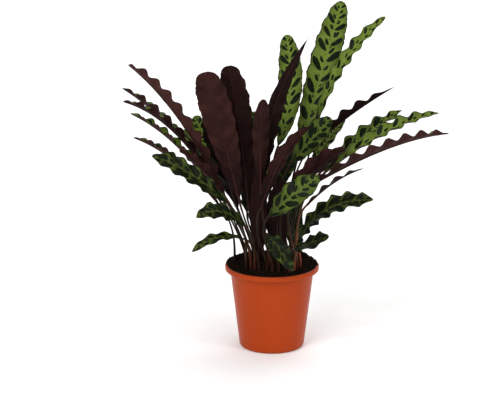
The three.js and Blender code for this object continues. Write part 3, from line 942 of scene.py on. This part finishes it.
under_side = Finish("leaf underside", specular=0.05)
lie = blade_readings(under_side)
along_leaf, _, under_tone = under_side.attribute("leaf").parts()
# How deep the leaf's painted shade is; the faint dark bands grow with it.
painted_shade_depth = under_tone.less_from(1)
oval_shadows = oval_marks(under_side, lie, painted_shade_depth, *LARGE_OVAL, shift=0.0, least=0.14, growth=0.15)
under_cloud = (under_side.grain(32, 3.0) * 2.4 - 0.7).clamped()
under_body = under_side.between(under_cloud, UNDER_PURPLE, UNDER_BROWN)
under_body = under_side.between(oval_shadows * 0.16, under_body, UNDER_SHADE)
# Painted shade: the underside is mixed towards the shade colour near the leaf's base, in the shade of the
# clump, and by how lit the leaf is painted.
under_painted_light_share = (along_leaf * 1.9 + 0.2).clamped() * under_tone
under_side.colour(under_side.between(under_painted_light_share, UNDER_SHADE, under_body))
under_side.rough(under_side.grain(200, 2.0) * 0.16 + 0.5)
under_grain = under_side.grain(600, 3.0)
under_side.relief(vein_ridges(lie) * 0.45 + under_grain * 0.35, metres=0.0004)

stalk_finish = Finish("leaf stalk", specular=0.08, roughness=0.42)
up_stalk, along_rib, warmth = stalk_finish.attribute("stalk").parts()
stalk_upright = stalk_finish.stretched((1, 1, 0.08))
stalk_streak = stalk_finish.grain(260, 3.0, place=stalk_upright)
dull_stalk = stalk_finish.ramp(up_stalk, *DULL_STALK)
red_stalk = stalk_finish.ramp(up_stalk, *RED_STALK)
stalk_colour = stalk_finish.between(warmth, dull_stalk, red_stalk)
rib_start = stalk_finish.between(warmth, DULL_RIB_START, RED_RIB_START)
rib_colour = stalk_finish.between((along_rib * 1.9).clamped(), rib_start, RIB_PURPLE)
stalk_colour = stalk_finish.between((along_rib * 60).clamped(), stalk_colour, rib_colour)
stalk_lit = (stalk_streak * 0.9 + 0.45).clamped()
stalk_finish.colour(stalk_finish.between(stalk_lit, STALK_SHADE, stalk_colour))
stalk_finish.relief(stalk_streak, metres=0.0003)


def leaf_grown(row, index):
    """One leaf from its row; index is its place in the whole clump."""
    name, foot, collar, mid, tip, width, facing, fold, fall_off, wave = row
    stem_top = Vector((foot[0], foot[1], STEM_TOP))
    start = Vector(collar)
    end = Vector(tip)
    bend = Vector(mid) * 2 - (start + end) / 2
    stalk_length = (start - stem_top).length
    leaving = (bend - start).normalized()
    azimuth, elevation = (math.radians(angle) for angle in facing)
    upper_way = (
        math.cos(azimuth) * math.cos(elevation),
        math.sin(azimuth) * math.cos(elevation),
        math.sin(elevation),
    )
    shares = [step / LENGTH_STEPS for step in range(LENGTH_STEPS + 1)]
    points = [start.lerp(bend, share).lerp(bend.lerp(end, share), share) for share in shares]
    length = sum((b - a).length for a, b in zip(points, points[1:]))
    usual_pitch = SPOT_PITCH * (0.6 + 0.4 * width / WIDE_LEAF)
    pitch, shift = SPOT_FITS.get(name, (usual_pitch, (index * SPOT_SHIFT_STEP) % 1))
    # How lit the leaf's colour is painted, and how red its stalk is; a side turned to the back takes a
    # lightly shaded tone instead.
    tone, warmth = LEAF_LIGHT_AND_WARMTH.get(name, USUAL_LIGHT_AND_WARMTH)
    given = {
        "Stations": STATIONS,
        "Strips": STRIPS,
        "Foot": Vector((foot[0], foot[1], STEM_BOTTOM)) * MM,
        "Stem top": stem_top * MM,
        "Stalk leaving": (stem_top + Vector((0, 0, STALK_RISE * stalk_length))) * MM,
        "Stalk arriving": (start - leaving * STALK_REACH * stalk_length) * MM,
        "Collar": start * MM,
        "Bend": bend * MM,
        "Tip": end * MM,
        "Upper side": Vector(upper_way),
        "Half width": width / 2 * MM,
        "Fold": float(fold),
        "Fall": float(fall_off),
        "Wave depth": wave * MM,
        "Blade length": length * MM,
        "First turn": index * GOLDEN_ANGLE,
        "Spot pitch": pitch * MM,
        "Spot shift": float(shift),
        "Upper tone": BACK_SIDE_TONE if upper_way[1] > TURNED_AWAY else tone,
        "Under tone": BACK_SIDE_TONE if upper_way[1] < -TURNED_AWAY else tone,
        "Warmth": warmth,
        "Upper finish": upper_side.material,
        "Under finish": under_side.material,
        "Stalk finish": stalk_finish.material,
    }
    leaf_name = name + "_leaf"
    leaf = placed(leaf_name, made_by(leaf_tree, leaf_name, bpy.data.meshes.new(leaf_name), given))
    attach(leaf, "root")
    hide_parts(name)


for index, row in enumerate(LEFT_LEAVES):
    leaf_grown(row, index)


# Leaves of the front: eleven that stand towards the viewer, grown like those of the left.
# The four tallest turn their purple undersides to the front, and the shortest bend forward
# over the rim.
FRONT_LEAVES = [
    ("front_1", (-25, -22), (-58, -66, 288), (-88, -98, 419), (-116, -108, 520),
     55, (85, 10), 0.2, 0.36, 2.5),
    ("front_2", (-17, -12), (-41, -40, 267), (-58, -58, 418), (-77, -62, 524), 50, (80, 5), 0.2, 0.4, 2.5),
    ("front_3", (-6, -32), (-20, -76, 316), (-20, -88, 400), (-15, -90, 471), 29, (90, 0), 0.4, 0.5, 2.5),
    ("front_4", (3, -18), (-18, -45, 316), (1, -60, 443), (61, -55, 572), 31, (70, 10), 0.35, 1.1, 4),
    ("front_5", (-9, -40), (-23, -80, 270), (19, -102, 375), (65, -100, 426), 27, (110, 20), 0.3, 0.8, 3.5),
    ("front_6", (-16, -30), (-23, -36, 167), (-24, -50, 251), (-22, -58, 349), 31, (90, 0), 0.3, 0.5, 2.5),
    ("front_7", (24, -45), (26, -70, 288), (72, -84, 346), (126, -88, 384), 44, (118, 25), 0.3, 0.6, 3.5),
    ("front_8", (-27, -4), (-61, -22, 261), (-96, -33, 372), (-111, -38, 434), 48, (70, 10), 0.3, 0.5, 3),
    ("front_9", (10, -32), (12, -38, 171), (10, -47, 256), (19, -50, 320), 42, (90, 0), 0.3, 0.6, 2.5),
    ("front_10", (1, -48), (-5, -102, 269), (34, -122, 310), (80, -116, 343), 46, (-80, 42), 0.1, 0.55, 3.5),
    ("front_11", (12, -45), (-7, -88, 231), (12, -114, 213), (36, -124, 176), 33, (-85, 45), 0.1, 0.7, 4),
]
for index, row in enumerate(FRONT_LEAVES, start=len(LEFT_LEAVES)):
    leaf_grown(row, index)


# Tall leaves and leaves of the right: the two tallest stand behind the middle of the pot,
# and nine more lean out to the right. They are grown like those of the left.
TALL_AND_RIGHT_LEAVES = [
    ("back_1", (6, 10), (10, 14, 368), (31, 32, 462), (24, 46, 563), 43, (-95, 18), 0.15, 0.45, 3),
    ("back_2", (16, 4), (46, 20, 347), (86, 60, 487), (124, 78, 619), 52, (-102, 15), 0.15, 0.45, 3),
    ("right_1", (30, -3), (75, 0, 400), (120, 10, 512), (197, 14, 599), 28, (-135, 30), 0.2, 0.5, 4),
    ("right_2", (35, -12), (77, -22, 383), (139, -30, 435), (210, -45, 485), 40, (150, 30), 0.4, 1.0, 4),
    ("right_3", (32, -24), (34, -50, 353), (67, -64, 395), (101, -72, 435), 45, (-112, 32), 0.15, 0.5, 3.5),
    ("right_4", (42, -6), (86, -12, 326), (156, -8, 386), (228, 0, 436), 44, (-150, 42), 0.25, 0.7, 4.5),
    ("right_5", (44, -18), (87, -46, 329), (193, -54, 405), (287, -60, 442), 33, (-152, 48), 0.45, 0.7, 4.5),
    ("right_6", (45, -30), (53, -92, 313), (188, -114, 388), (297, -130, 420), 49, (150, 45), 0.4, 0.65, 4.3),
    ("right_7", (51, -12), (60, -34, 270), (107, -48, 315), (158, -62, 344), 27, (160, 40), 0.3, 0.7, 4),
    ("right_8", (40, -42), (44, -56, 202), (90, -100, 278), (171, -142, 308), 48, (-100, 58), 0.1, 0.6, 4),
    ("right_9", (31, -45), (34, -81, 203), (62, -119, 224), (97, -142, 243), 41, (-90, 58), 0.1, 0.6, 3),
]
leaves_before = len(LEFT_LEAVES) + len(FRONT_LEAVES)
for index, row in enumerate(TALL_AND_RIGHT_LEAVES, start=leaves_before):
    leaf_grown(row, index)


# Leaves of the back: eleven shorter ones that fill the clump behind, grown like those of
# the left and hidden from the front but for small patches.
BACK_LEAVES = [
    ("back_3", (13, -20), (1, -26, 278), (22, -24, 327), (54, -18, 386), 24, (-100, 20), 0.2, 0.5, 3),
    ("back_4", (-10, 2), (-45, 0, 249), (-40, 18, 332), (-31, 36, 422), 42, (-90, 15), 0.2, 0.5, 4),
    ("back_5", (-28, 8), (-67, 28, 257), (-109, 48, 347), (-142, 58, 413), 40, (-60, 30), 0.2, 0.45, 4),
    ("back_6", (-23, 18), (-63, 50, 265), (-122, 76, 334), (-164, 92, 381), 36, (-40, 35), 0.2, 0.5, 4),
    ("back_7", (-5, 18), (-31, 45, 298), (-38, 90, 372), (-49, 125, 409), 44, (-85, 35), 0.2, 0.5, 4),
    ("back_8", (8, 22), (5, 50, 274), (11, 100, 300), (9, 150, 312), 30, (-90, 45), 0.2, 0.5, 4),
    ("back_9", (-15, 27), (-50, 60, 279), (-75, 110, 349), (-91, 150, 392), 44, (-70, 40), 0.2, 0.5, 4),
    ("back_10", (24, 18), (41, 30, 166), (38, 50, 220), (29, 95, 271), 38, (-95, 40), 0.2, 0.5, 3.5),
    ("back_11", (2, 32), (-19, 65, 265), (-31, 130, 307), (-50, 190, 313), 46, (-85, 60), 0.2, 0.5, 4),
    ("back_12", (31, 12), (54, 45, 280), (91, 95, 345), (135, 135, 394), 25, (-115, 40), 0.2, 0.5, 4),
    ("back_13", (-33, 22), (-74, 58, 261), (-108, 105, 306), (-136, 150, 312), 40, (-50, 50), 0.2, 0.5, 4),
]
leaves_before = leaves_before + len(TALL_AND_RIGHT_LEAVES)
for index, row in enumerate(BACK_LEAVES, start=leaves_before):
    leaf_grown(row, index)


# Studio: a wide painted floor under the pot, in an evenly lit white room. Four broad suns
# light the plant from the left, the right, above and behind, and two narrow ones give the
# leaves their gloss. The camera stands a little above the plant and looks down on it.
FLOOR_WHITE = (0.95, 0.95, 0.945, 1)
FLOOR_WHITE_PALE = (0.97, 0.97, 0.965, 1)
FLOOR_REACH = 40
AIR_STRENGTH = 0.36
# Each sun: its name, the way to it from the plant, its spread in degrees, its strength.
SUNS = [
    ("left_sun", (-0.65, -1.0, 0.8), 45, 1.3),
    ("right_sun", (0.75, -1.0, 0.7), 45, 0.65),
    ("top_sun", (0.1, 0.25, 1.0), 50, 1.05),
    ("left_gloss_sun", (-0.45, -1.0, 1.3), 7, 0.45),
    ("right_gloss_sun", (0.9, -0.8, 1.2), 7, 0.4),
    ("back_sun", (0.3, 1.0, 0.7), 60, 0.55),
]
CAMERA_PLACE = (0, -2.6, 0.92)
CAMERA_TURN = 0.878
CAMERA_DIP = 14.0
CAMERA_LENS = 107.57
CAMERA_FRAME = 36
CAMERA_SIGHT = 100
floor_corners = [
    (-FLOOR_REACH, -FLOOR_REACH, 0),
    (FLOOR_REACH, -FLOOR_REACH, 0),
    (FLOOR_REACH, FLOOR_REACH, 0),
    (-FLOOR_REACH, FLOOR_REACH, 0),
]
floor_mesh = bpy.data.meshes.new("studio_floor")
floor_mesh.from_pydata(floor_corners, [], [(0, 1, 2, 3)])
studio_floor = placed("studio_floor", floor_mesh)
floor_paint = Finish("floor paint", specular=0.1, roughness=0.8)
floor_grain = floor_paint.grain(3, 2.0)
floor_paint.colour(floor_paint.between(floor_grain, FLOOR_WHITE, FLOOR_WHITE_PALE))
floor_mesh.materials.append(floor_paint.material)

studio_air = bpy.data.worlds.new("studio air")
studio_air.use_nodes = True
studio_air.node_tree.nodes["Background"].inputs["Color"].default_value = (1.0, 1.0, 1.0, 1)
studio_air.node_tree.nodes["Background"].inputs["Strength"].default_value = AIR_STRENGTH
bpy.context.scene.world = studio_air

for sun_name, towards, spread_degrees, strength in SUNS:
    light = bpy.data.lights.new(sun_name, "SUN")
    light.angle = math.radians(spread_degrees)
    light.energy = strength
    sun = bpy.data.objects.new(sun_name, light)
    sun.rotation_euler = Vector(towards).to_track_quat("Z", "Y").to_euler()
    bpy.context.scene.collection.objects.link(sun)

camera = bpy.data.objects.new("camera", bpy.data.cameras.new("camera"))
camera.location = CAMERA_PLACE
camera.rotation_euler = (math.radians(90 - CAMERA_DIP), 0, math.radians(CAMERA_TURN))
camera.data.sensor_width = CAMERA_FRAME
camera.data.lens = CAMERA_LENS
camera.data.clip_end = CAMERA_SIGHT
bpy.context.scene.collection.objects.link(camera)
bpy.context.scene.camera = camera
bpy.context.scene.view_settings.view_transform = "Standard"
